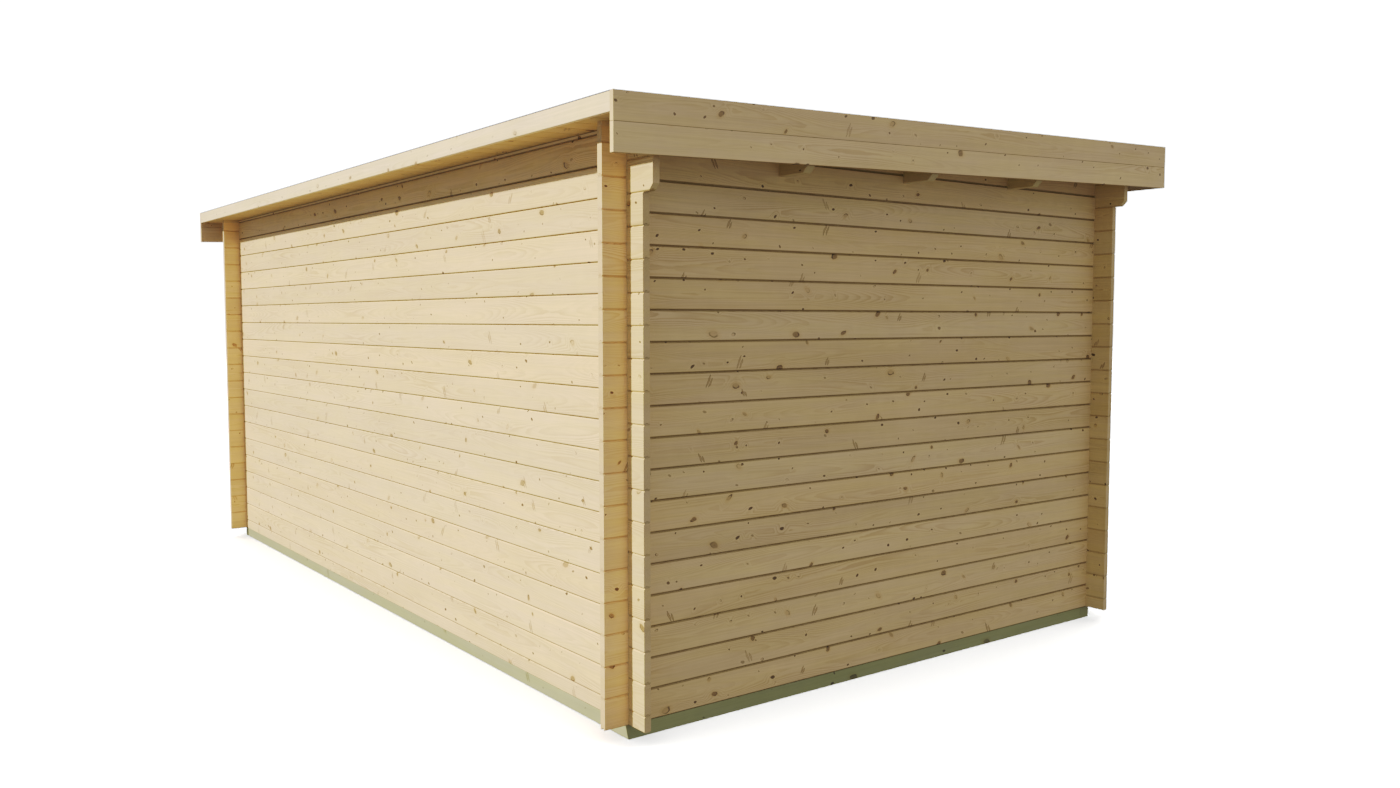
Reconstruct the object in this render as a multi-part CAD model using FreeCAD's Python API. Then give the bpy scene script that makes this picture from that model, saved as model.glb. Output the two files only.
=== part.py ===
import FreeCAD, Part
import math
import os

Vector = FreeCAD.Vector

# Sizes are in millimetres and degrees.
# X runs across the house, from the low back wall to the high front wall.
# Y runs along the house, from the left end to the right end as seen from the front.
# Z is up from the ground. The origin lies on the ground, under the middle of the roof.

# House, over the outer faces of the walls
house_width = 2794.0
house_length = 4842.0

# Logs
log_thickness = 28.0
log_height = 114.0
log_bevel = 4.0
tongue_height = 7.0
tongue_top_width = 8.0
tongue_play = 1.0
back_log_count = 18
corner_projection = 100.0

# Clearance between pieces that seat against or slide into each other
fit = 0.3

# Bearer beams under the walls
beam_height = 54.0
beam_width = 70.0
beam_inset = 2.0

# Bracket logs and purlins, which carry the roof past the end walls
bracket_projection = 160.0
bracket_chamfer = 24.0
purlin_count = 3
purlin_width = 40.0
purlin_height = 155.0

# Levelling strip between a wall and the roof boards
strip_thickness = 17.0

# Roof
roof_slope = 1.95
roof_board_overhang = 172.0
roof_board_cover = 120.0
roof_board_thickness = 19.0
roof_board_bevel = 2.5
batten_thickness = 36.0
felt_thickness = 3.0

# Fascia boards
fascia_thickness = 20.0
fascia_board_height = 100.0
fascia_boards_per_edge = 2
fascia_rise = 64.0
back_fascia_height = 65.0

# Whole logs of a wall, and roof boards, are saved in this many groups
group_count = 4

# Faces and centre lines of the walls
back_overhang = roof_board_overhang + fascia_thickness
front_overhang = roof_board_overhang + batten_thickness + fascia_thickness
roof_width = back_overhang + house_width + front_overhang
back_face = back_overhang - roof_width / 2
front_face = back_face + house_width
left_face = -house_length / 2
right_face = house_length / 2
back_line = back_face + log_thickness / 2
front_line = front_face - log_thickness / 2
left_line = left_face + log_thickness / 2
right_line = right_face - log_thickness / 2

# Edges of the roof boards, which are as long and as wide as the purlins and brackets carry
deck_back = back_face - roof_board_overhang
deck_front = front_face + roof_board_overhang
deck_left = left_face - bracket_projection
deck_right = right_face + bracket_projection

# Faces of the fascias: a batten lies between the boards and all but the back one
fascia_front = deck_front + batten_thickness
fascia_left = deck_left - batten_thickness
fascia_right = deck_right + batten_thickness
roof_back = deck_back - fascia_thickness
roof_front = fascia_front + fascia_thickness
roof_left = fascia_left - fascia_thickness
roof_right = fascia_right + fascia_thickness

# Heights
rise_per_mm = math.tan(math.radians(roof_slope))
notch_depth = log_height / 4
half_log_top = beam_height + log_height / 2
back_wall_top = half_log_top + back_log_count * log_height
front_rise = house_width * rise_per_mm
front_log_count = back_log_count + math.ceil((front_rise - notch_depth) / log_height)
front_wall_top = half_log_top + front_log_count * log_height
clear_height = front_wall_top + 2 * log_height


def wall_top(x):
    """Height of the sloping line that the walls are cut to."""
    return back_wall_top + rise_per_mm * (x - back_face)


def soffit(x):
    """Height of the underside of the roof boards."""
    return wall_top(x) + strip_thickness


def fascia_top(x):
    """Height of the top edge of the roof."""
    return soffit(x) + fascia_rise


def prism(points, direction):
    """Solid made by pushing a closed outline along a direction."""
    outline = Part.makePolygon(points + [points[0]])
    return Part.Face(outline).extrude(direction)


def box(x0, x1, y0, y1, z0, z1):
    return Part.makeBox(x1 - x0, y1 - y0, z1 - z0, Vector(x0, y0, z0))


def slab(x0, x1, y0, y1, height_below, height_above):
    """Slab between two heights that are given as functions of x, such as those of the roof."""
    points = [
        Vector(x0, y0, height_below(x0)),
        Vector(x1, y0, height_below(x1)),
        Vector(x1, y0, height_above(x1)),
        Vector(x0, y0, height_above(x0)),
    ]
    return prism(points, Vector(0, y1 - y0, 0))


def save(name, solids):
    shape = solids[0] if len(solids) == 1 else Part.makeCompound(solids)
    shape.exportStep("parts/" + name + ".step")


def save_groups(name, solids):
    """Save like pieces in a few nodes, in order and as evenly filled as they can be."""
    for group in range(group_count):
        first = round(group * len(solids) / group_count)
        last = round((group + 1) * len(solids) / group_count)
        save(name + "_" + str(group + 1), solids[first:last])


# Bearer beams
def bearer_beams():
    back = back_face + beam_inset
    front = front_face - beam_inset
    left = left_face + beam_inset
    right = right_face - beam_inset
    top = beam_height - fit / 2
    save("back_bearer_beam", [box(back, back + beam_width, left, right, 0, top)])
    save("front_bearer_beam", [box(front - beam_width, front, left, right, 0, top)])
    start = back + beam_width + fit
    end = front - beam_width - fit
    save("left_bearer_beam", [box(start, end, left, left + beam_width, 0, top)])
    save("right_bearer_beam", [box(start, end, right - beam_width, right, 0, top)])


# Logs
def log_outline(bottom, top, has_groove):
    """Section of a log as (across, height) points: bevelled edges, a tapered tongue and its groove."""
    face = log_thickness / 2
    edge = face - log_bevel
    tip = tongue_top_width / 2
    low = bottom + fit / 2
    high = top - fit / 2
    points = [(-face, low + log_bevel), (-edge, low)]
    if has_groove:
        groove_depth = tongue_height + tongue_play
        points += [(-tip, low + groove_depth), (tip, low + groove_depth)]
    points += [(edge, low), (face, low + log_bevel)]
    points += [(face, high - log_bevel), (edge, high)]
    points += [(tip, high + tongue_height), (-tip, high + tongue_height)]
    points += [(-edge, high), (-face, high - log_bevel)]
    return points


def log(start, end, crossings, bottom, top, has_groove=True):
    """Log along X, with quarter height notches where the logs of two other walls cross it."""
    points = [Vector(start, u, z) for u, z in log_outline(bottom, top, has_groove)]
    blank = prism(points, Vector(end - start, 0, 0))
    half_slot = log_thickness / 2 + fit
    upper_floor = top - notch_depth - fit / 2
    lower_floor = bottom + notch_depth + fit / 2
    cuts = []
    for crossing in crossings:
        slot = (crossing - half_slot, crossing + half_slot, -log_thickness, log_thickness)
        cuts.append(box(*slot, upper_floor, top + log_height))
        if has_groove:
            cuts.append(box(*slot, bottom - log_height, lower_floor))
    return blank.cut(Part.makeCompound(cuts))


def long_log(line, bottom, top, projection, has_groove=True):
    """Log of the back or front wall, turned to run along Y."""
    crossings = (left_line, right_line)
    piece = log(left_face - projection, right_face + projection, crossings, bottom, top, has_groove)
    piece.rotate(Vector(0, 0, 0), Vector(0, 0, 1), 90)
    piece.translate(Vector(line, 0, 0))
    return piece


def end_log(line, bottom, top):
    """Log of an end wall, half a log lower than those that it crosses."""
    crossings = (back_line, front_line)
    start = back_face - corner_projection
    end = front_face + corner_projection
    piece = log(start, end, crossings, bottom, top)
    piece.translate(Vector(0, line, 0))
    return piece


def chamfer_lower_ends(piece, line, width, bottom):
    """Take the lower corner off both ends of a bracket log or a purlin."""
    cuts = []
    for tip, outward in ((deck_left, -1), (deck_right, 1)):
        inside = tip - outward * bracket_chamfer
        outside = tip + outward * bracket_chamfer
        corner = [
            Vector(line - width, inside, bottom),
            Vector(line - width, outside, bottom + 2 * bracket_chamfer),
            Vector(line - width, outside, bottom - bracket_chamfer),
            Vector(line - width, inside, bottom - bracket_chamfer),
        ]
        cuts.append(prism(corner, Vector(2 * width, 0, 0)))
    return piece.cut(Part.makeCompound(cuts))


# Purlins
def purlin_lines():
    """Centre lines of the purlins, spaced evenly from the inside of the back wall."""
    spacing = (house_width - log_thickness) / (purlin_count + 1)
    first = back_face + log_thickness
    return [first + spacing * (i + 1) for i in range(purlin_count)]


def purlin_bottom(line):
    return soffit(line) - purlin_height


def purlins():
    for number, line in enumerate(purlin_lines(), start=1):
        bottom = purlin_bottom(line)
        beam = slab(
            line - purlin_width / 2, line + purlin_width / 2, deck_left, deck_right,
            lambda x: bottom, lambda x: soffit(x) - fit,
        )
        beam = chamfer_lower_ends(beam, line, purlin_width, bottom)
        save("purlin_" + str(number), [beam])


def purlin_pockets():
    """Slots in the end walls that the purlins pass through."""
    half = purlin_width / 2 + fit
    return [
        box(line - half, line + half, roof_left, roof_right, purlin_bottom(line) - fit, clear_height)
        for line in purlin_lines()
    ]


# Walls
def strip_seat(top_of_logs):
    """Height of the underside of a long wall's strip, on its logs or on the slope cut across them."""
    return lambda x: min(wall_top(x), top_of_logs)


def all_above(x0, x1, height):
    """Everything above a height that is given as a function of x, to cut the walls with."""
    return slab(x0, x1, roof_left, roof_right, lambda x: height(x) - fit / 2, lambda x: clear_height)


def long_wall(name, line, log_count, top_of_logs):
    """Half log, whole logs, bracket log, top log and levelling strip of the back or front wall."""
    half_log = long_log(line, beam_height, half_log_top, corner_projection, has_groove=False)
    save(name + "_half_log", [half_log])
    bottoms = [half_log_top + i * log_height for i in range(log_count)]
    whole = [long_log(line, z, z + log_height, corner_projection) for z in bottoms[:-2]]
    save_groups(name + "_logs", whole)

    bottom = bottoms[-2]
    bracket = long_log(line, bottom, bottom + log_height, bracket_projection)
    save(name + "_bracket_log", [chamfer_lower_ends(bracket, line, log_thickness, bottom)])

    seat = strip_seat(top_of_logs)
    x0 = line - log_thickness / 2
    x1 = line + log_thickness / 2
    top_log = long_log(line, bottoms[-1], bottoms[-1] + log_height, bracket_projection)
    save(name + "_top_log", [top_log.cut(all_above(x0 - fit, x1 + fit, seat))])
    strip = slab(
        x0, x1, deck_left, deck_right,
        lambda x: seat(x) + fit / 2, lambda x: soffit(x) - fit / 2,
    )
    save(name + "_top_strip", [strip])


def end_wall(name, line):
    """Whole logs, gable logs cut to the slope and levelling strips of an end wall."""
    low_top = wall_top(back_face - corner_projection)
    high_top = wall_top(front_face + corner_projection)
    whole_count = math.floor((low_top - beam_height) / log_height)
    total_count = math.ceil((high_top - beam_height - tongue_height) / log_height)
    bottoms = [beam_height + i * log_height for i in range(total_count)]
    pockets = purlin_pockets()
    slots = []
    for crossing, top_of_logs in ((back_line, back_wall_top), (front_line, front_wall_top)):
        half = log_thickness / 2 + fit
        slots.append(all_above(crossing - half, crossing + half, strip_seat(top_of_logs)))

    logs = [end_log(line, z, z + log_height).cut(Part.makeCompound(pockets)) for z in bottoms]
    save_groups(name + "_logs", logs[:whole_count])

    waste = all_above(roof_back, roof_front, wall_top).fuse(slots)
    gable = [piece.cut(waste) for piece in logs[whole_count:]]
    save(name + "_gable_logs", [solid for piece in gable for solid in piece.Solids])

    strip = slab(
        back_face - corner_projection, front_face + corner_projection,
        line - log_thickness / 2, line + log_thickness / 2,
        lambda x: wall_top(x) + fit / 2, lambda x: soffit(x) - fit / 2,
    )
    strip = strip.cut(Part.makeCompound(slots)).cut(Part.makeCompound(pockets))
    save(name + "_top_strip", strip.Solids)


# Roof
def roof_board(start, width):
    """Board that runs down the slope, with its lower edges bevelled."""
    low = soffit(deck_back)
    y0 = start + fit / 2
    y1 = start + width - fit / 2
    outline = [
        (y0, low + roof_board_thickness),
        (y0, low + roof_board_bevel),
        (y0 + roof_board_bevel, low),
        (y1 - roof_board_bevel, low),
        (y1, low + roof_board_bevel),
        (y1, low + roof_board_thickness),
    ]
    length = deck_front - deck_back
    board = prism([Vector(0, y, z) for y, z in outline], Vector(length, 0, rise_per_mm * length))
    board.translate(Vector(deck_back, 0, 0))
    return board


def roof_boards():
    count = round((deck_right - deck_left) / roof_board_cover)
    cover = (deck_right - deck_left) / count
    save_groups("roof_boards", [roof_board(deck_left + i * cover, cover) for i in range(count)])


def edge_battens():
    """Battens that stand on the edge of the boards, behind the two end fascias and the front one."""
    back = deck_back + fit
    front = fascia_front - fit
    outlines = [
        (back, front, fascia_left + fit, deck_left - fit),
        (back, front, deck_right + fit, fascia_right - fit),
        (deck_front + fit, front, deck_left, deck_right),
    ]
    top = felt_thickness + fit
    save("roof_edge_battens", [slab(*plan, soffit, lambda x: fascia_top(x) - top) for plan in outlines])


def roof_felt():
    """Sheet on the roof boards, turned up all round and out over the battens and the back fascia."""
    deck_top = roof_board_thickness + fit
    inner_back = deck_back + fit
    tray = slab(inner_back, deck_front, deck_left, deck_right, lambda x: soffit(x) + deck_top, fascia_top)
    brim = slab(
        roof_back, fascia_front - fit, fascia_left + fit, fascia_right - fit,
        lambda x: fascia_top(x) - felt_thickness, fascia_top,
    )
    hollow = slab(
        inner_back + felt_thickness, deck_front - felt_thickness,
        deck_left + felt_thickness, deck_right - felt_thickness,
        lambda x: soffit(x) + deck_top + felt_thickness, lambda x: fascia_top(x) + felt_thickness,
    )
    save("roof_felt", [tray.fuse(brim).cut(hollow).removeSplitter()])


# Fascia boards
def fascia(name, x0, x1, y0, y1, heights, lowered=0.0):
    """Boards of one edge of the roof, one below the other."""
    boards = []
    drop = lowered
    for height in heights:
        boards.append(slab(
            x0, x1, y0, y1,
            lambda x: fascia_top(x) - drop - height + fit,
            lambda x: fascia_top(x) - drop,
        ))
        drop += height
    save(name, boards)


def fascias():
    deep = [fascia_board_height] * fascia_boards_per_edge
    fascia("left_end_fascia", roof_back, roof_front, roof_left, fascia_left, deep)
    fascia("right_end_fascia", roof_back, roof_front, fascia_right, roof_right, deep)
    y0 = fascia_left + fit
    y1 = fascia_right - fit
    fascia("front_fascia", fascia_front, roof_front, y0, y1, deep)
    under_felt = felt_thickness + fit
    fascia("back_fascia", roof_back, deck_back, y0, y1, [back_fascia_height], under_felt)


os.makedirs("parts", exist_ok=True)
bearer_beams()
long_wall("back_wall", back_line, back_log_count, back_wall_top)
long_wall("front_wall", front_line, front_log_count, front_wall_top)
end_wall("left_end_wall", left_line)
end_wall("right_end_wall", right_line)
purlins()
roof_boards()
edge_battens()
roof_felt()
fascias()
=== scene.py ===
import bpy
import bmesh
import math
from collections import namedtuple
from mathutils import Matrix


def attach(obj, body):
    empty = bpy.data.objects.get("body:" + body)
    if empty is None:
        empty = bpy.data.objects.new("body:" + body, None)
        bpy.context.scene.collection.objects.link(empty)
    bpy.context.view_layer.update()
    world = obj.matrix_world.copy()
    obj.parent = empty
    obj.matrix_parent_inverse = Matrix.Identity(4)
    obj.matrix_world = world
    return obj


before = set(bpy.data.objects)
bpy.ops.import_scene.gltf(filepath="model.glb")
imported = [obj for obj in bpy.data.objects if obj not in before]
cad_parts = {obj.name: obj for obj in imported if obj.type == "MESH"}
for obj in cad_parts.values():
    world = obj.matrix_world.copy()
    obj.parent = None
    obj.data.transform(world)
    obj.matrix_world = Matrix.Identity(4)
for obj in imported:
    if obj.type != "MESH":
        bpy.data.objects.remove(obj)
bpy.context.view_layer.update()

# Driving sizes of the part that this script repeats, in metres
HOUSE_WIDTH = 2.794
HOUSE_LENGTH = 4.842
LOG_HEIGHT = 0.114
LOG_THICKNESS = 0.028
BACK_LOG_COUNT = 18
BEAM_HEIGHT = 0.054
STRIP_THICKNESS = 0.017
SLOPE = math.tan(math.radians(1.95))
BOARD_OVERHANG = 0.172
END_OVERHANG = 0.160
BOARD_COVER = 0.120
BOARD_THICKNESS = 0.019
BATTEN_THICKNESS = 0.036
FELT_THICKNESS = 0.003
FASCIA_THICKNESS = 0.020
FASCIA_BOARD = 0.100
FASCIA_RISE = 0.064
FIT = 0.0003

# Places that follow. X runs from the low back wall to the high front wall, Y from the left end
# to the right end, and Z is up. The origin lies under the middle of the roof.
HALF_ROOF_WIDTH = HOUSE_WIDTH / 2 + BOARD_OVERHANG + FASCIA_THICKNESS + BATTEN_THICKNESS / 2
DECK_BACK = FASCIA_THICKNESS - HALF_ROOF_WIDTH
BACK_FACE = DECK_BACK + BOARD_OVERHANG
FRONT_FACE = BACK_FACE + HOUSE_WIDTH
DECK_FRONT = FRONT_FACE + BOARD_OVERHANG
RIGHT_FACE = HOUSE_LENGTH / 2
LEFT_FACE = -RIGHT_FACE
DECK_RIGHT = RIGHT_FACE + END_OVERHANG
DECK_LEFT = -DECK_RIGHT
END_WALL_FIRST_JOINT = BEAM_HEIGHT
LONG_WALL_FIRST_JOINT = BEAM_HEIGHT + LOG_HEIGHT / 2
BACK_WALL_TOP = LONG_WALL_FIRST_JOINT + BACK_LOG_COUNT * LOG_HEIGHT
SOFFIT_AT_ZERO = BACK_WALL_TOP + STRIP_THICKNESS - SLOPE * BACK_FACE
FASCIA_START = SOFFIT_AT_ZERO + FASCIA_RISE - 2 * FASCIA_BOARD

# Mid-planes of what stands in pairs, as distances from the origin
LONG_WALL_MIDDLE = HOUSE_WIDTH / 2 - LOG_THICKNESS / 2
END_WALL_MIDDLE = RIGHT_FACE - LOG_THICKNESS / 2
LONG_FASCIA_MIDDLE = HALF_ROOF_WIDTH - FASCIA_THICKNESS / 2
END_FASCIA_MIDDLE = DECK_RIGHT + BATTEN_THICKNESS + FASCIA_THICKNESS / 2
LONG_BEAM_MIDDLE = 1.35
END_BEAM_MIDDLE = 2.38

X, Y, Z = 0, 1, 2


def soffit(x):
    return SOFFIT_AT_ZERO + SLOPE * x


def opaque(colour):
    return (*colour, 1.0)


class Nodes:
    """Short calls that build shader nodes."""

    def __init__(self, tree):
        self.tree = tree

    def add(self, kind, inputs=None, **settings):
        node = self.tree.nodes.new(kind)
        for name, value in settings.items():
            setattr(node, name, value)
        for key, value in (inputs or {}).items():
            if isinstance(value, bpy.types.NodeSocket):
                self.tree.links.new(value, node.inputs[key])
            else:
                node.inputs[key].default_value = value
        return node

    def math(self, operation, *values):
        return self.add("ShaderNodeMath", dict(enumerate(values)), operation=operation).outputs[0]

    def plus(self, a, b):
        return self.math("ADD", a, b)

    def minus(self, a, b):
        return self.math("SUBTRACT", a, b)

    def times(self, a, b):
        return self.math("MULTIPLY", a, b)

    def over(self, a, b):
        return self.math("DIVIDE", a, b)

    def most(self, a, b):
        return self.math("MAXIMUM", a, b)

    def size(self, value):
        return self.math("ABSOLUTE", value)

    def swing(self, value, spread):
        """Makes a number between 0 and 1 swing about zero."""
        return self.times(self.minus(value, 0.5), spread)

    def step(self, value, low, high, to_low=0.0, to_high=1.0):
        """Smooth change from to_low to to_high while the value goes from low to high."""
        limits = {0: value, 1: low, 2: high, 3: to_low, 4: to_high}
        return self.add("ShaderNodeMapRange", limits, interpolation_type="SMOOTHSTEP").outputs[0]

    def combine(self, x, y, z=0.0):
        return self.add("ShaderNodeCombineXYZ", {0: x, 1: y, 2: z}).outputs[0]

    def split(self, vector):
        return self.add("ShaderNodeSeparateXYZ", {0: vector}).outputs

    def scale(self, vector, factor):
        return self.add("ShaderNodeVectorMath", {0: vector, 3: factor}, operation="SCALE").outputs[0]

    def noise_outputs(self, vector, detail, roughness=0.5):
        return self.add("ShaderNodeTexNoise", {
            "Vector": vector, "Scale": 1.0, "Detail": detail, "Roughness": roughness}).outputs

    def noise(self, vector, detail, roughness=0.5):
        return self.noise_outputs(vector, detail, roughness)[0]

    def cells(self, vector, scale=1.0, randomness=1.0, dimensions="3D"):
        return self.add(
            "ShaderNodeTexVoronoi", {"Vector": vector, "Scale": scale, "Randomness": randomness},
            voronoi_dimensions=dimensions, feature="F1").outputs

    def mix(self, factor, a, b, blend="MIX"):
        return self.add("ShaderNodeMix", {0: factor, 6: a, 7: b}, data_type="RGBA",
                        blend_type=blend, clamp_factor=True).outputs[2]

    def shade(self, colour, factor):
        """A colour times another colour."""
        return self.mix(1.0, colour, factor, "MULTIPLY")

    def grey(self, value):
        return self.combine(value, value, value)


# Wood. A knot layer's cell is the room for each knot along and across the grain, keep the
# share of cells that have one, and least and most the knots' radii.
RING_WIDTH = 0.0038
SMALL_KNOTS = dict(cell=(0.115, 0.115), keep=0.80, least=0.0036, most=0.0070, skew=2.5, shift=0.0)
LARGE_KNOTS = dict(cell=(0.42, 0.15), keep=0.80, least=0.0064, most=0.0128, skew=1.3, shift=2.4)
SPIKE_CELL = (0.80, 0.17)
SPIKE_KEEP = 0.80
SPIKE_WIDTH = 0.0046
SPIKE_GAP = 0.0105
SPIKE_LENGTH = 0.015
SPIKE_LINE = 0.0006
LEAST_BRIGHTNESS = 0.93
PALE_HALO = (1.10, 1.10, 1.12)
WARM_HALO = (0.90, 0.82, 0.70)
KNOT_WOOD = (0.57, 0.48, 0.38)
JOINT_SHADE = (0.29, 0.265, 0.19)

WoodPoint = namedtuple("WoodPoint", "along across depth seed far")
Knots = namedtuple("Knots", "fill rim heart halo push chance")
Spikes = namedtuple("Spikes", "inside line chance")


def solid_grain(n, at, along, across):
    """The place in a board, stretched for a noise that runs through its thickness."""
    return n.combine(n.times(at.far, along), n.times(at.across, across), n.times(at.depth, across))


def flat_grain(n, at, along, across):
    """The same for a noise that is alike through the thickness."""
    return n.combine(n.times(at.far, along), n.times(at.across, across), at.seed)


def knot_grid(n, at, cell, seed_steps, randomness):
    """A jittered grid with room for one knot in each cell. Gives the way from the knot's
    middle, in metres, and the knot's three random numbers."""
    grid = n.combine(n.plus(n.over(at.along, cell[0]), n.times(at.seed, seed_steps[0])),
                     n.plus(n.over(at.across, cell[1]), n.times(at.seed, seed_steps[1])))
    cells = n.cells(grid, randomness=randomness, dimensions="2D")
    centre = n.split(cells["Position"])
    here = n.split(grid)
    du = n.times(n.minus(here[0], centre[0]), cell[0])
    dv = n.times(n.minus(here[1], centre[1]), cell[1])
    return du, dv, n.split(cells["Color"])


def knot_layer(n, at, cell, keep, least, most, skew, shift):
    """Round knots: the fill, the dark rim, the heart and the halo of each, and its push on the
    grain around it."""
    du, dv, chance = knot_grid(n, at, cell, (7.31 + shift, 3.17), 1.0)
    # A tilt, a stretch and a size of its own for every knot
    du = n.plus(du, n.times(dv, n.swing(chance[2], 1.5)))
    du = n.over(du, n.plus(0.70, n.times(chance[1], 1.3)))
    radius = n.plus(least, n.times(n.math("POWER", chance[0], skew), most - least))
    pu = n.over(du, radius)
    pv = n.over(dv, radius)
    q = n.math("SQRT", n.plus(n.times(pu, pu), n.times(pv, pv)))
    # The outline is ragged, and the rim changes round the knot
    ragged = n.noise(n.combine(n.times(pu, 0.9), n.times(pv, 0.9), n.times(chance[0], 37.0)), 1.5)
    q = n.plus(q, n.swing(ragged, 0.8))
    turn = n.math("SINE", n.plus(n.times(chance[0], 40.0), n.math("ARCTAN2", pv, pu)))
    rim = n.times(n.step(q, 0.55, 0.85), n.step(q, 0.95, 1.2, 1.0, 0.0))
    kept = n.math("LESS_THAN", chance[1], keep)
    return Knots(
        fill=n.times(n.step(q, 0.80, 1.0, 1.0, 0.0), kept),
        rim=n.times(n.times(rim, n.step(turn, -0.5, 0.7, 0.15, 1.0)), kept),
        heart=n.times(n.step(q, 0.12, 0.42, 1.0, 0.0), kept),
        halo=n.times(n.step(q, 0.9, 2.4, 1.0, 0.0), kept),
        push=n.times(n.times(n.step(q, 0.5, 4.5, 1.0, 0.0), radius), kept),
        chance=chance)


def spike_layer(n, at):
    """Spike knots, cut along their length: two slanting leaves side by side."""
    du, dv, chance = knot_grid(n, at, SPIKE_CELL, (5.77, 2.39), 0.9)
    lean = n.times(n.math("SIGN", n.minus(chance[0], 0.3)), 0.45)
    sway = n.swing(n.noise(flat_grain(n, at, 30.0, 45.0), 1.0), 0.010)
    aside = n.plus(n.minus(du, n.times(dv, lean)), sway)
    gap = n.plus(SPIKE_GAP, n.times(chance[2], 0.005))
    leaf = n.math("ROUND", n.over(aside, gap))
    within = n.size(n.minus(aside, n.times(leaf, gap)))
    # The second leaf is shorter and lies a little lower
    length = n.times(n.plus(SPIKE_LENGTH, n.times(chance[2], 0.019)),
                     n.minus(1.0, n.times(leaf, 0.3)))
    off = n.over(n.plus(dv, n.times(leaf, 0.006)), length)
    width = n.times(SPIKE_WIDTH, n.minus(1.0, n.times(off, off)))
    first_two = n.math("LESS_THAN", n.size(n.minus(leaf, 0.3)), 0.9)
    kept = n.times(first_two, n.math("LESS_THAN", chance[1], SPIKE_KEEP))
    inside = n.times(n.step(n.minus(within, width), -0.0005, 0.0005, 1.0, 0.0), kept)
    from_line = n.size(n.minus(within, n.minus(width, SPIKE_LINE)))
    line = n.times(n.step(from_line, 0.0004, 0.0014, 1.0, 0.0), inside)
    return Spikes(inside, line, chance)


def latewood(n, at, push):
    """Dark growth rings round a pith that wanders along the board, behind one face of it."""
    wander = n.noise_outputs(n.combine(n.times(at.far, 0.8), at.seed, 4.0), 1.0)[1]
    wander = n.split(wander)
    to_u = n.minus(at.across, n.swing(wander[0], 0.22))
    to_v = n.plus(at.depth, n.plus(0.040, n.swing(wander[1], 0.09)))
    radius = n.math("SQRT", n.plus(n.times(to_u, to_u), n.times(to_v, to_v)))
    radius = n.plus(radius, n.swing(n.noise(solid_grain(n, at, 1.9, 18.0), 2.0), 0.006))
    radius = n.plus(radius, n.swing(n.noise(solid_grain(n, at, 16.0, 110.0), 2.0), 0.0016))
    radius = n.plus(radius, n.times(push, 1.2))
    ring = n.math("FRACT", n.over(radius, RING_WIDTH))
    return n.times(n.step(ring, 0.25, 0.90), n.step(ring, 0.93, 1.0, 1.0, 0.0))


def board_brightness(n, at, own_tone, fibre, end):
    """How bright the wood is, from board to board and within each."""
    streak = n.noise(solid_grain(n, at, 2.0, 160.0), 2.0)
    blotch = n.noise(flat_grain(n, at, 1.7, 12.0), 3.0)
    # Light bands that lie across the grain where it rises and falls
    shimmer = n.noise(flat_grain(n, at, 16.0, 9.0), 2.0)
    brightness = n.plus(LEAST_BRIGHTNESS, n.times(own_tone, 0.11))
    for cause, spread in ((fibre, 0.16), (streak, 0.24), (shimmer, 0.09), (blotch, 0.20)):
        brightness = n.plus(brightness, n.swing(cause, spread))
    return n.minus(brightness, n.times(end, 0.05))


def clear_wood(n, at, given, late, fibre):
    """The colour of the wood between the knots."""
    colour = n.mix(late, given["Pale"], given["Late"])
    # Yellow and rosy patches
    patch = n.combine(n.times(at.far, 3.1), n.times(at.across, 26.0), n.plus(at.seed, 9.5))
    colour = n.shade(colour, n.mix(n.step(n.noise(patch, 2.0), 0.32, 0.68),
                                   opaque((1.005, 0.995, 0.93)), opaque((1.0, 0.985, 1.02))))
    luck = n.add("ShaderNodeTexWhiteNoise", {"W": at.seed}, noise_dimensions="1D").outputs
    colour = n.shade(colour, n.grey(board_brightness(n, at, luck[0], fibre, given["End"])))
    own_tint = n.times(n.split(luck[1])[2], 0.55)
    colour = n.mix(own_tint, colour, n.shade(colour, opaque((1.0, 0.93, 0.80))))
    # Where the given share is 1 the colour is multiplied by the tint: painted bounce light on the end
    # walls' log ends, painted shade on the long walls' log ends, and the darker, greyer inward face of the
    # fascias
    return n.mix(given["Tinted"], colour, n.shade(colour, given["Tint"]))


def paint_knots(n, colour, knots, dark, brown, halo, solid, on_side):
    # Some knots are sound and dark, some only an outline, and some hardly show
    sound = n.step(n.math("FRACT", n.times(knots.chance[0], 23.0)), 0.20, 0.38)
    plain = n.times(n.step(knots.chance[2], 0.60, 0.92, 1.0, 0.45), on_side)
    colour = n.mix(n.times(n.times(knots.halo, 0.55), on_side), colour, halo)
    body = n.times(n.times(knots.fill, plain), n.plus(0.35, n.times(sound, 0.65)))
    colour = n.mix(body, colour, brown)
    core = n.times(n.most(n.times(knots.fill, solid), n.times(knots.heart, 0.55)), sound)
    core = n.most(core, n.times(knots.rim, 0.90))
    return n.mix(n.times(core, plain), colour, dark)


def paint_spikes(n, colour, spikes, dark, brown, on_side):
    plain = n.times(n.step(spikes.chance[1], 0.35, 0.70, 1.0, 0.60), on_side)
    colour = n.mix(n.times(n.times(spikes.inside, 0.70), plain), colour, brown)
    return n.mix(n.times(n.times(spikes.line, 0.80), plain), colour, dark)


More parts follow.
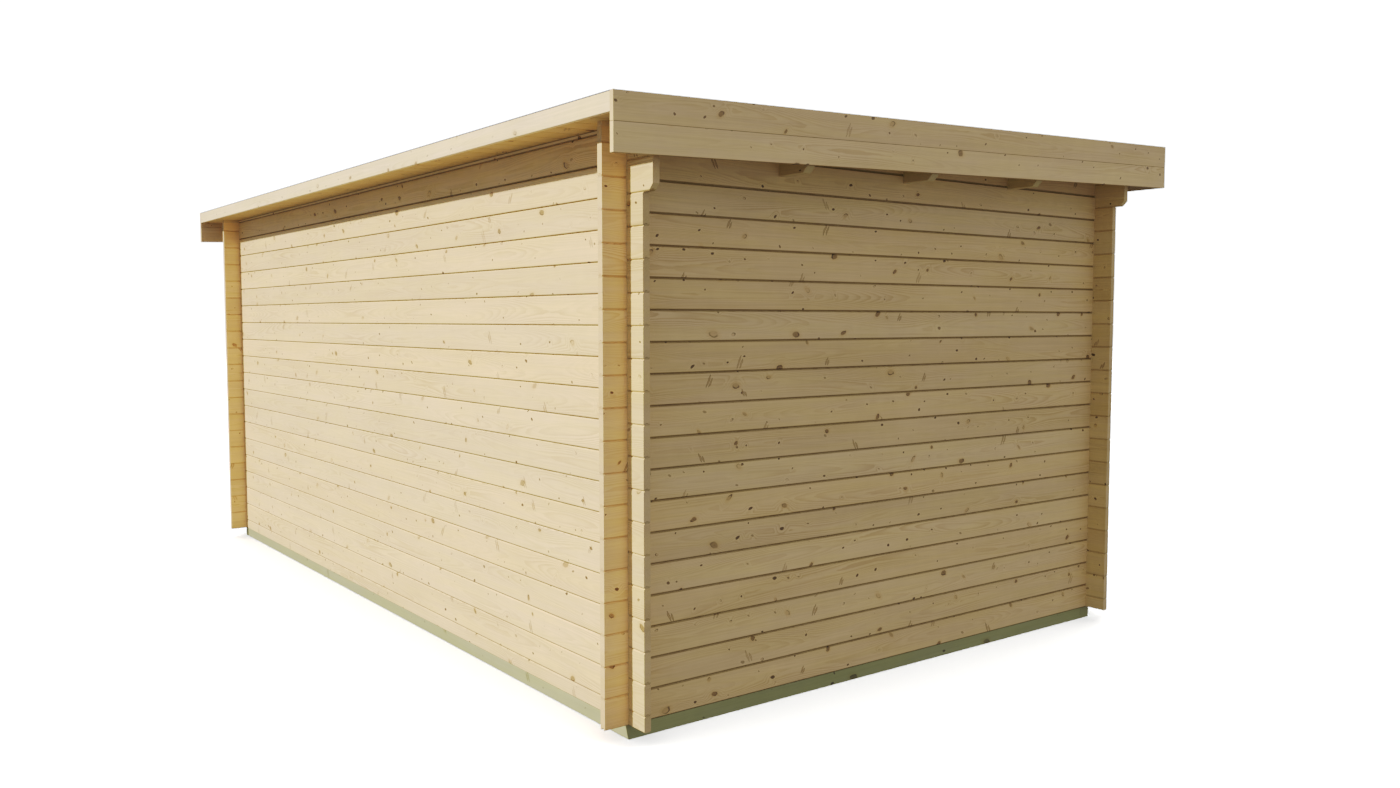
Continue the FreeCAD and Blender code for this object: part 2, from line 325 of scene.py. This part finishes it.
def make_wood_group():
    """Solid spruce, with one board's numbers as its inputs."""
    tree = bpy.data.node_groups.new("spruce", "ShaderNodeTree")
    face = tree.interface
    for name in ("Along", "Across", "Depth", "Seed", "Edge", "End", "Tinted"):
        face.new_socket(name, in_out="INPUT", socket_type="NodeSocketFloat")
    for name in ("Pale", "Late", "Knot", "Tint"):
        face.new_socket(name, in_out="INPUT", socket_type="NodeSocketColor")
    face.new_socket("Color", in_out="OUTPUT", socket_type="NodeSocketColor")
    face.new_socket("Roughness", in_out="OUTPUT", socket_type="NodeSocketFloat")
    face.new_socket("Height", in_out="OUTPUT", socket_type="NodeSocketFloat")
    n = Nodes(tree)
    given = tree.nodes.new("NodeGroupInput").outputs
    # Every board has its own stretch of the noise
    far = n.plus(given["Along"], n.times(given["Seed"], 3.713))
    at = WoodPoint(given["Along"], given["Across"], given["Depth"], given["Seed"], far)
    small = knot_layer(n, at, **SMALL_KNOTS)
    large = knot_layer(n, at, **LARGE_KNOTS)
    spikes = spike_layer(n, at)

    # Grain shows strongly in some stretches and hardly at all in others, and more on end grain
    strength = n.step(n.noise(flat_grain(n, at, 1.1, 7.0), 2.0), 0.40, 0.72, 0.09, 0.56)
    strength = n.plus(strength, n.times(given["End"], 0.35))
    late = n.times(latewood(n, at, n.plus(small.push, large.push)), strength)
    fibre = n.noise(solid_grain(n, at, 22.0, 700.0), 3.0, 0.6)
    colour = clear_wood(n, at, given, late, fibre)

    # Small knots are dark all through, and large ones a rim and a heart in brown wood. End
    # grain shows next to nothing of them.
    on_side = n.minus(1.0, n.times(given["End"], 0.92))
    pale_halo = n.shade(colour, opaque(PALE_HALO))
    warm_halo = n.shade(colour, opaque(WARM_HALO))
    brown = n.shade(colour, opaque(KNOT_WOOD))
    for knots, halo, solid in ((small, pale_halo, 0.80), (large, warm_halo, 0.32)):
        colour = paint_knots(n, colour, knots, given["Knot"], brown, halo, solid, on_side)
    colour = paint_spikes(n, colour, spikes, given["Knot"], brown, on_side)

    # Dust and painted shade in the joints
    colour = n.mix(given["Edge"], colour, n.shade(colour, opaque(JOINT_SHADE)))

    hard = n.most(n.most(small.fill, large.fill), spikes.inside)
    rough = n.minus(n.plus(0.56, n.times(fibre, 0.16)), n.times(hard, 0.14))
    height = n.plus(n.plus(n.times(late, 0.5), n.times(fibre, 0.35)), n.times(hard, 0.5))
    n.add("NodeGroupOutput", {"Color": colour, "Roughness": rough, "Height": height})
    return tree


WOOD = make_wood_group()
PALETTES = {
    "end wall": dict(pale=(0.756, 0.562, 0.298), late=(0.47, 0.298, 0.126), knot=(0.088, 0.058, 0.028)),
    "long wall": dict(pale=(0.756, 0.563, 0.298), late=(0.43, 0.275, 0.112), knot=(0.066, 0.044, 0.021)),
    # The long fascias' palette is paler and less yellow than the end fascias': painted light for the sun
    # on the back fascia, which the front fascia takes too
    "end fascia": dict(pale=(0.800, 0.588, 0.318), late=(0.55, 0.362, 0.160), knot=(0.200, 0.136, 0.074)),
    "long fascia": dict(pale=(0.830, 0.675, 0.418), late=(0.63, 0.465, 0.255), knot=(0.170, 0.120, 0.066)),
    "soffit": dict(pale=(0.620, 0.462, 0.205), late=(0.42, 0.275, 0.105), knot=(0.105, 0.070, 0.036)),
    "purlin": dict(pale=(0.600, 0.480, 0.240), late=(0.38, 0.265, 0.115), knot=(0.110, 0.075, 0.040)),
    "strip": dict(pale=(0.820, 0.640, 0.380), late=(0.58, 0.400, 0.200), knot=(0.150, 0.100, 0.055)),
    "treated": dict(pale=(0.314, 0.318, 0.162), late=(0.225, 0.235, 0.110), knot=(0.070, 0.056, 0.034)),
}
NO_TINT = (1.0, 1.0, 1.0)
INWARD_FACE_TINT = (0.60, 0.66, 0.84)
# The stretch that one whole timber fills
WHOLE = (-1.0, 6.0)
# How far the first number of a second wall or of the next row lies from the first one's
SECOND_WALL = 53.0
NEXT_ROW = 17.0


def new_material(name):
    material = bpy.data.materials.new(name)
    material.use_nodes = True
    material.node_tree.nodes.clear()
    return material, Nodes(material.node_tree)


def joint_mask(n, local, pitch, width, soft=0.0, lower=0.8, upper=0.8):
    """Dark edges of a board: dust and painted shade in the joints. lower and upper say how dark they are
    on either side of it.
    """
    near = pitch / 2 - width
    blur = 0.0006
    low_edge = n.step(local, -near - blur, -near + blur + soft, lower, 0.0)
    return n.most(low_edge, n.step(local, near - blur - soft, near + blur, 0.0, upper))


def wood(name, palette, axes, boards, middle, seed, side=None, rows=None, slope_across=0.0,
         slope_depth=0.0, joint=None, ends=None, darker_inward_face=False, tint=NO_TINT):
    """Wood whose boards lie side by side along one axis, each with its own number.

    axes holds the along, across and depth axes of the part's frame. boards says where the
    first joint lies on the across axis, and the pitch. middle is where the boards' mid-plane
    lies on the depth axis, and side is the axis whose sign tells two like walls apart.
    """
    along, across, depth = axes
    start, pitch = boards
    material, n = new_material(name)
    coords = n.add("ShaderNodeTexCoord").outputs
    place = n.split(coords["Object"])
    normal = n.split(coords["Normal"])
    u = place[along]
    v = place[across]
    w = place[depth]
    if slope_across:
        v = n.minus(v, n.times(place[X], slope_across))
    if slope_depth:
        w = n.minus(w, n.times(place[X], slope_depth))
    v = n.minus(v, start)
    index = n.math("FLOOR", n.over(v, pitch))
    local = n.minus(v, n.times(n.plus(index, 0.5), pitch))
    number = n.plus(index, seed)
    if rows:
        # Like timbers that lie side by side along the depth axis as well
        w = n.minus(w, rows[0])
        row = n.math("FLOOR", n.over(w, rows[1]))
        w = n.minus(w, n.times(n.plus(row, 0.5), rows[1]))
        number = n.plus(number, n.times(row, NEXT_ROW))
    elif side is not None:
        w = n.minus(n.size(w), middle)
        number = n.plus(number, n.times(n.math("GREATER_THAN", place[side], 0.0), SECOND_WALL))
    else:
        w = n.minus(w, middle)

    edge = joint_mask(n, local, pitch, **joint) if joint else 0.0
    end = n.step(n.size(normal[along]), 0.75, 0.95)
    tinted = 0.0
    if ends:
        # Outside the walls the joints are painted lighter and the side faces of the log ends take the
        # tint: painted bounce light on the end walls and painted shade on the long walls
        half = (ends[1] - ends[0]) / 2
        from_middle = n.size(n.minus(u, (ends[0] + ends[1]) / 2))
        outside = n.step(from_middle, half - 0.001, half + 0.001)
        edge = n.times(edge, n.minus(1.0, n.times(outside, 0.65)))
        tinted = n.times(outside, n.minus(1.0, end))
    if darker_inward_face:
        # The face turned to the middle of the house is darker and greyer
        outward = n.times(normal[depth], n.math("SIGN", place[depth]))
        tinted = n.step(outward, -0.9, -0.6, 1.0, 0.0)

    body = n.add("ShaderNodeGroup", node_tree=WOOD)
    values = {"Along": u, "Across": local, "Depth": w, "Seed": number, "Edge": edge, "End": end,
              "Tinted": tinted, "Tint": opaque(tint)}
    for key, colour in PALETTES[palette].items():
        values[key.capitalize()] = opaque(colour)
    for key, value in values.items():
        if isinstance(value, bpy.types.NodeSocket):
            n.tree.links.new(value, body.inputs[key])
        else:
            body.inputs[key].default_value = value
    bump = n.add("ShaderNodeBump", {
        "Strength": 0.35, "Distance": 0.0012, "Height": body.outputs["Height"]})
    shader = n.add("ShaderNodeBsdfPrincipled", {
        "Base Color": body.outputs["Color"], "Roughness": body.outputs["Roughness"],
        "Normal": bump.outputs[0], "IOR": 1.45, "Specular IOR Level": 0.35})
    n.add("ShaderNodeOutputMaterial", {"Surface": shader.outputs[0]})
    return material


# Felt: the sheets lie along the house and lap down the slope
FELT_TOP = BOARD_THICKNESS + FIT + FELT_THICKNESS
LAP_EDGES = (-0.72, 0.10, 0.92)
LAP_WIDTH = 0.085
LAP_THICKNESS = 0.0026
NAIL_RADIUS = 0.005
NAIL_HEIGHT = 0.0011
NAIL_SPACING = 0.075
RIM_NAIL_SPACING = 0.15


def felt_material():
    """Bitumen felt with fine mineral grains, and a bead of bare bitumen along each lap."""
    material, n = new_material("roof_felt")
    at = n.add("ShaderNodeTexCoord").outputs["Object"]
    grains = n.cells(at, scale=520.0)
    luck = n.split(grains["Color"])
    colour = n.mix(luck[0], opaque((0.055, 0.057, 0.058)), opaque((0.155, 0.155, 0.150)))
    patch = n.noise(n.scale(at, 2.2), 4.0)
    colour = n.shade(colour, n.grey(n.plus(0.82, n.times(patch, 0.36))))
    x = n.split(at)[0]
    bead = 0.0
    for lap in LAP_EDGES:
        aside = n.size(n.minus(x, lap - 0.002))
        bead = n.most(bead, n.step(aside, 0.004, 0.008, 1.0, 0.0))
    colour = n.mix(bead, colour, opaque((0.022, 0.022, 0.023)))
    bump = n.add("ShaderNodeBump", {
        "Strength": 0.5, "Distance": 0.0015, "Height": grains["Distance"]})
    shader = n.add("ShaderNodeBsdfPrincipled", {
        "Base Color": colour, "Roughness": n.plus(0.82, n.times(luck[1], 0.14)),
        "Normal": bump.outputs[0], "Specular IOR Level": 0.3})
    n.add("ShaderNodeOutputMaterial", {"Surface": shader.outputs[0]})
    return material


def zinc_material():
    """Galvanised nail heads."""
    material, n = new_material("zinc")
    at = n.add("ShaderNodeTexCoord").outputs["Object"]
    spangle = n.noise(n.scale(at, 900.0), 2.0)
    shader = n.add("ShaderNodeBsdfPrincipled", {
        "Base Color": n.mix(spangle, opaque((0.20, 0.205, 0.21)), opaque((0.36, 0.365, 0.37))),
        "Metallic": 0.8, "Roughness": n.plus(0.42, n.times(spangle, 0.2))})
    n.add("ShaderNodeOutputMaterial", {"Surface": shader.outputs[0]})
    return material


ALONG_Y_ON_EDGE = (Y, Z, X)
ALONG_X_ON_EDGE = (X, Z, Y)
# On the long walls each joint is painted dark below and left nearly clean above, where the sun catches the
# bevel, and the log ends outside the walls take a darker tint: painted shade, with some dust in the joints
long_walls = wood(
    "long_wall_spruce", "long wall", ALONG_Y_ON_EDGE, (LONG_WALL_FIRST_JOINT, LOG_HEIGHT),
    LONG_WALL_MIDDLE, 5.0, side=X, joint=dict(width=0.0047, soft=0.0032, lower=1.0, upper=0.05),
    ends=(LEFT_FACE, RIGHT_FACE), tint=(0.90, 0.91, 0.83))
# On the end walls both sides of each joint are painted darker, painted shade with some dust, and the log
# ends outside the walls take a lighter tint: painted bounce light
end_walls = wood(
    "end_wall_spruce", "end wall", ALONG_X_ON_EDGE, (END_WALL_FIRST_JOINT, LOG_HEIGHT),
    END_WALL_MIDDLE, 211.0, side=Y, joint=dict(width=0.0042, soft=0.0014, lower=0.82, upper=0.66),
    ends=(BACK_FACE, FRONT_FACE), tint=(1.21, 1.12, 1.05))
# The strip's edges are painted darker: painted shade in the gaps above and below it
long_strips = wood(
    "long_strip_spruce", "strip", ALONG_Y_ON_EDGE,
    (SOFFIT_AT_ZERO - STRIP_THICKNESS, STRIP_THICKNESS), LONG_WALL_MIDDLE, 307.0, side=X,
    slope_across=SLOPE, joint=dict(width=0.0040))
end_strips = wood(
    "end_strip_spruce", "end wall", ALONG_X_ON_EDGE, WHOLE, END_WALL_MIDDLE, 331.0, side=Y)
purlin_wood = wood(
    "purlin_spruce", "purlin", ALONG_Y_ON_EDGE, WHOLE, 0.0, 401.0, rows=(-1.06, 0.70))
roof_boards = wood(
    "roof_board_spruce", "soffit", (X, Y, Z), (DECK_LEFT, BOARD_COVER),
    SOFFIT_AT_ZERO + BOARD_THICKNESS / 2, 503.0, slope_depth=SLOPE, joint=dict(width=0.0026))
battens = wood(
    "batten_spruce", "end wall", (Y, X, Z), (-3.0, 1.5), SOFFIT_AT_ZERO + 0.02, 607.0,
    slope_depth=SLOPE)
end_fascias = wood(
    "end_fascia_board", "end fascia", ALONG_X_ON_EDGE, (FASCIA_START, FASCIA_BOARD),
    END_FASCIA_MIDDLE, 701.0, side=Y, slope_across=SLOPE, joint=dict(width=0.0009),
    darker_inward_face=True, tint=INWARD_FACE_TINT)
long_fascias = wood(
    "long_fascia_board", "long fascia", ALONG_Y_ON_EDGE, (FASCIA_START, FASCIA_BOARD),
    LONG_FASCIA_MIDDLE, 809.0, side=X, slope_across=SLOPE, joint=dict(width=0.0009),
    darker_inward_face=True, tint=INWARD_FACE_TINT)
long_beams = wood(
    "long_bearer", "treated", ALONG_Y_ON_EDGE, WHOLE, LONG_BEAM_MIDDLE, 907.0, side=X)
end_beams = wood(
    "end_bearer", "treated", ALONG_X_ON_EDGE, WHOLE, END_BEAM_MIDDLE, 953.0, side=Y)
felt = felt_material()
zinc = zinc_material()


def material_of(name):
    if "fascia" in name:
        return end_fascias if "_end_" in name else long_fascias
    if "bearer_beam" in name:
        return end_beams if name.startswith(("left", "right")) else long_beams
    if name.startswith("purlin"):
        return purlin_wood
    if name.startswith("roof_boards"):
        return roof_boards
    if name == "roof_edge_battens":
        return battens
    if name == "roof_felt":
        return felt
    if "end_wall" in name:
        return end_strips if name.endswith("strip") else end_walls
    return long_strips if name.endswith("strip") else long_walls


def ease_edges(node):
    """Rounds a timber's edges a little. The loaded faces have corners of their own, which join
    before the bevel."""
    join = node.modifiers.new("joined corners", "WELD")
    join.merge_threshold = 0.00005
    ease = node.modifiers.new("eased edges", "BEVEL")
    ease.width = 0.0015
    ease.segments = 2
    ease.limit_method = "ANGLE"
    ease.angle_limit = math.radians(40)


EASED = ("fascia", "bearer_beam", "purlin", "roof_edge_battens", "strip")
for name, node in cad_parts.items():
    node.data.materials.clear()
    node.data.materials.append(material_of(name))
    if any(word in name for word in EASED):
        ease_edges(node)


# Pieces on the roof
def new_piece(name, mesh, material):
    piece = bpy.data.objects.new(name, mesh)
    bpy.context.scene.collection.objects.link(piece)
    mesh.materials.append(material)
    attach(piece, "root")
    return piece


def lap_section(x, y, edge):
    """A sheet's lower edge at x, slightly lifted, which runs out to nothing up the slope."""
    lift = 0.0003 + 0.0003 * math.sin(4.1 * y + 9 * edge)
    round_over = 0.0006
    under = 0.0005
    crest = x + 0.018
    high = edge + LAP_WIDTH
    return (
        (x, soffit(x) + FELT_TOP - under),
        (x, soffit(x) + FELT_TOP + LAP_THICKNESS + lift - round_over),
        (x + round_over, soffit(x) + FELT_TOP + LAP_THICKNESS + lift),
        (crest, soffit(crest) + FELT_TOP + LAP_THICKNESS * 0.8),
        (high, soffit(high) + FELT_TOP + 0.0002),
        (high, soffit(high) + FELT_TOP - under),
    )


def felt_laps():
    mesh = bpy.data.meshes.new("roof_felt_laps")
    bm = bmesh.new()
    y0 = DECK_LEFT + FELT_THICKNESS + 0.0005
    y1 = -y0
    count = 96
    for edge in LAP_EDGES:
        rows = []
        for i in range(count + 1):
            y = y0 + (y1 - y0) * i / count
            wave = 0.0012 * math.sin(7.3 * y + 11 * edge) + 0.0008 * math.sin(17.1 * y + 5 * edge)
            rows.append([bm.verts.new((x, y, z)) for x, z in lap_section(edge + wave, y, edge)])
        for a, b in zip(rows, rows[1:]):
            for j in range(len(a)):
                k = (j + 1) % len(a)
                bm.faces.new((a[j], b[j], b[k], a[k]))
        bm.faces.new(rows[0])
        bm.faces.new(list(reversed(rows[-1])))
    bmesh.ops.recalc_face_normals(bm, faces=bm.faces)
    bm.to_mesh(mesh)
    bm.free()
    return new_piece("roof_felt_laps", mesh, felt)


def add_nail_head(bm, x, y, z):
    sides = 12
    profile = ((NAIL_RADIUS, -0.0004), (NAIL_RADIUS, NAIL_HEIGHT * 0.45),
               (NAIL_RADIUS * 0.8, NAIL_HEIGHT * 0.85), (NAIL_RADIUS * 0.42, NAIL_HEIGHT))
    turns = [2 * math.pi * i / sides for i in range(sides)]
    rings = []
    for r, h in profile:
        rings.append([bm.verts.new((x + r * math.cos(t), y + r * math.sin(t), z + h)) for t in turns])
    for a, b in zip(rings, rings[1:]):
        for i in range(sides):
            k = (i + 1) % sides
            bm.faces.new((a[i], a[k], b[k], b[i]))
    bm.faces.new(rings[-1])
    bm.faces.new(list(reversed(rings[0])))


def felt_nails():
    """Nails along the laps, and along the turned-up felt at both ends and the front."""
    mesh = bpy.data.meshes.new("roof_felt_nails")
    bm = bmesh.new()
    y0 = DECK_LEFT + 0.05
    y1 = -y0
    count = round((y1 - y0) / NAIL_SPACING)
    for edge in LAP_EDGES:
        for i in range(count + 1):
            y = y0 + (y1 - y0) * i / count
            x = edge + 0.016 + 0.001 * math.sin(i * 2.3 + edge)
            add_nail_head(bm, x, y, soffit(x) + FELT_TOP + LAP_THICKNESS * 0.85)
    rim = FASCIA_RISE - 0.0014
    half_batten = BATTEN_THICKNESS / 2
    count = round((DECK_FRONT - DECK_BACK) / RIM_NAIL_SPACING)
    for y in (DECK_LEFT - half_batten, DECK_RIGHT + half_batten):
        for i in range(count):
            x = DECK_BACK + 0.06 + (DECK_FRONT - DECK_BACK - 0.09) * i / (count - 1)
            add_nail_head(bm, x, y, soffit(x) + rim)
    x = DECK_FRONT + half_batten
    count = round((y1 - y0) / RIM_NAIL_SPACING)
    for i in range(count + 1):
        y = y0 + (y1 - y0) * i / count
        add_nail_head(bm, x, y, soffit(x) + rim)
    bm.to_mesh(mesh)
    bm.free()
    for face in mesh.polygons:
        face.use_smooth = True
    return new_piece("roof_felt_nails", mesh, zinc)


felt_laps()
felt_nails()

# Floor, lights, backdrop and camera
FLOOR_REACH = 45.0
FLOOR_DROP = 0.0008
FLOOR_LIGHT = 14.0
SUN_DIRECTION = (1.0, -0.27, -0.75)
SUN_STRENGTH = 6.8
SUN_COLOUR = (1.0, 0.900, 0.812)
LIGHT_FROM_BELOW = (0.248, 0.246, 0.239)
LIGHT_FROM_ABOVE = (0.495, 0.503, 0.515)
# How much stronger the light is from straight ahead of the front wall
MORE_FROM_FRONT = 0.10
BACKDROP = 2.4
# Tone curve: straight in the darks and mid-tones, then a soft shoulder up to white
WHITE = 2.2
TONES = ((0.02, 0.020), (0.05, 0.052), (0.10, 0.120), (0.15, 0.186), (0.20, 0.248), (0.26, 0.316),
         (0.36, 0.403), (0.55, 0.503), (0.81, 0.608), (1.15, 0.702), (1.55, 0.790), (1.90, 0.885))
# The photo's camera, solved from the log joints. The angles are in degrees.
EYE = (-3.5865, -5.7111, 1.5013)
LOOK_DOWN = 3.7789
LOOK_TURN = 52.8653
LENS_MM = 28.92
SENSOR_MM = 36.0
scene = bpy.context.scene


def make_floor():
    r = FLOOR_REACH
    mesh = bpy.data.meshes.new("floor")
    mesh.from_pydata([(-r, -r, 0), (r, -r, 0), (r, r, 0), (-r, r, 0)], [], [(0, 1, 2, 3)])
    floor = bpy.data.objects.new("floor", mesh)
    scene.collection.objects.link(floor)
    floor.location.z = -FLOOR_DROP
    pale = bpy.data.materials.new("pale_floor")
    pale.use_nodes = True
    shader = pale.node_tree.nodes["Principled BSDF"]
    shader.inputs["Base Color"].default_value = opaque((0.86, 0.86, 0.85))
    shader.inputs["Roughness"].default_value = 0.9
    mesh.materials.append(pale)
    floor.visible_diffuse = False
    floor.visible_glossy = False
    floor.visible_shadow = False
    return floor


def sun(name, direction, strength, angle, colour):
    """A sun that shines along a direction."""
    light = bpy.data.lights.new(name, "SUN")
    light.energy = strength
    light.angle = math.radians(angle)
    light.color = colour
    thing = bpy.data.objects.new(name, light)
    scene.collection.objects.link(thing)
    x, y, z = direction
    thing.rotation_euler = (math.atan2(math.hypot(x, y), -z), 0.0, math.atan2(y, x) - math.pi / 2)
    return thing


def make_lights(floor):
    """The sun lights the house. A wide overhead light keeps the floor as pale as the backdrop."""
    lit_floor = bpy.data.collections.new("lit_floor")
    lit_floor.objects.link(floor)
    overhead = sun("floor_light", (0.0, 0.0, -1.0), FLOOR_LIGHT, 120.0, (1.0, 1.0, 1.0))
    overhead.light_linking.receiver_collection = lit_floor
    house_only = bpy.data.collections.new("house_only")
    house_only.objects.link(floor)
    house_only.collection_objects[0].light_linking.link_state = "EXCLUDE"
    low_sun = sun("sun", SUN_DIRECTION, SUN_STRENGTH, 1.2, SUN_COLOUR)
    low_sun.light_linking.receiver_collection = house_only


def make_world():
    """Soft light from all round, and a white backdrop for the camera alone."""
    world = bpy.data.worlds.new("studio")
    scene.world = world
    world.use_nodes = True
    world.node_tree.nodes.clear()
    n = Nodes(world.node_tree)
    towards = n.split(n.add("ShaderNodeTexCoord").outputs["Generated"])
    sky = n.mix(n.step(towards[Z], -0.30, 0.30), opaque(LIGHT_FROM_BELOW), opaque(LIGHT_FROM_ABOVE))
    sky = n.shade(sky, n.grey(n.plus(1.0, n.times(towards[X], MORE_FROM_FRONT))))
    soft = n.add("ShaderNodeBackground", {"Color": sky, "Strength": 1.0})
    white = n.add("ShaderNodeBackground", {"Color": opaque((1.0, 1.0, 1.0)), "Strength": BACKDROP})
    seen = n.add("ShaderNodeLightPath").outputs["Is Camera Ray"]
    both = n.add("ShaderNodeMixShader", {0: seen, 1: soft.outputs[0], 2: white.outputs[0]})
    n.add("ShaderNodeOutputWorld", {"Surface": both.outputs[0]})


def set_tones():
    view = scene.view_settings
    view.view_transform = "Standard"
    view.use_curve_mapping = True
    view.curve_mapping.white_level = (WHITE, WHITE, WHITE)
    for light, shown in TONES:
        view.curve_mapping.curves[3].points.new(light / WHITE, shown)
    view.curve_mapping.update()


def make_camera():
    camera = bpy.data.objects.new("camera", bpy.data.cameras.new("camera"))
    scene.collection.objects.link(camera)
    camera.data.sensor_width = SENSOR_MM
    camera.data.lens = LENS_MM
    camera.data.clip_end = 200.0
    camera.location = EYE
    camera.rotation_euler = (math.radians(90.0 - LOOK_DOWN), 0.0, math.radians(LOOK_TURN - 90.0))
    scene.camera = camera


make_lights(make_floor())
make_world()
set_tones()
make_camera()
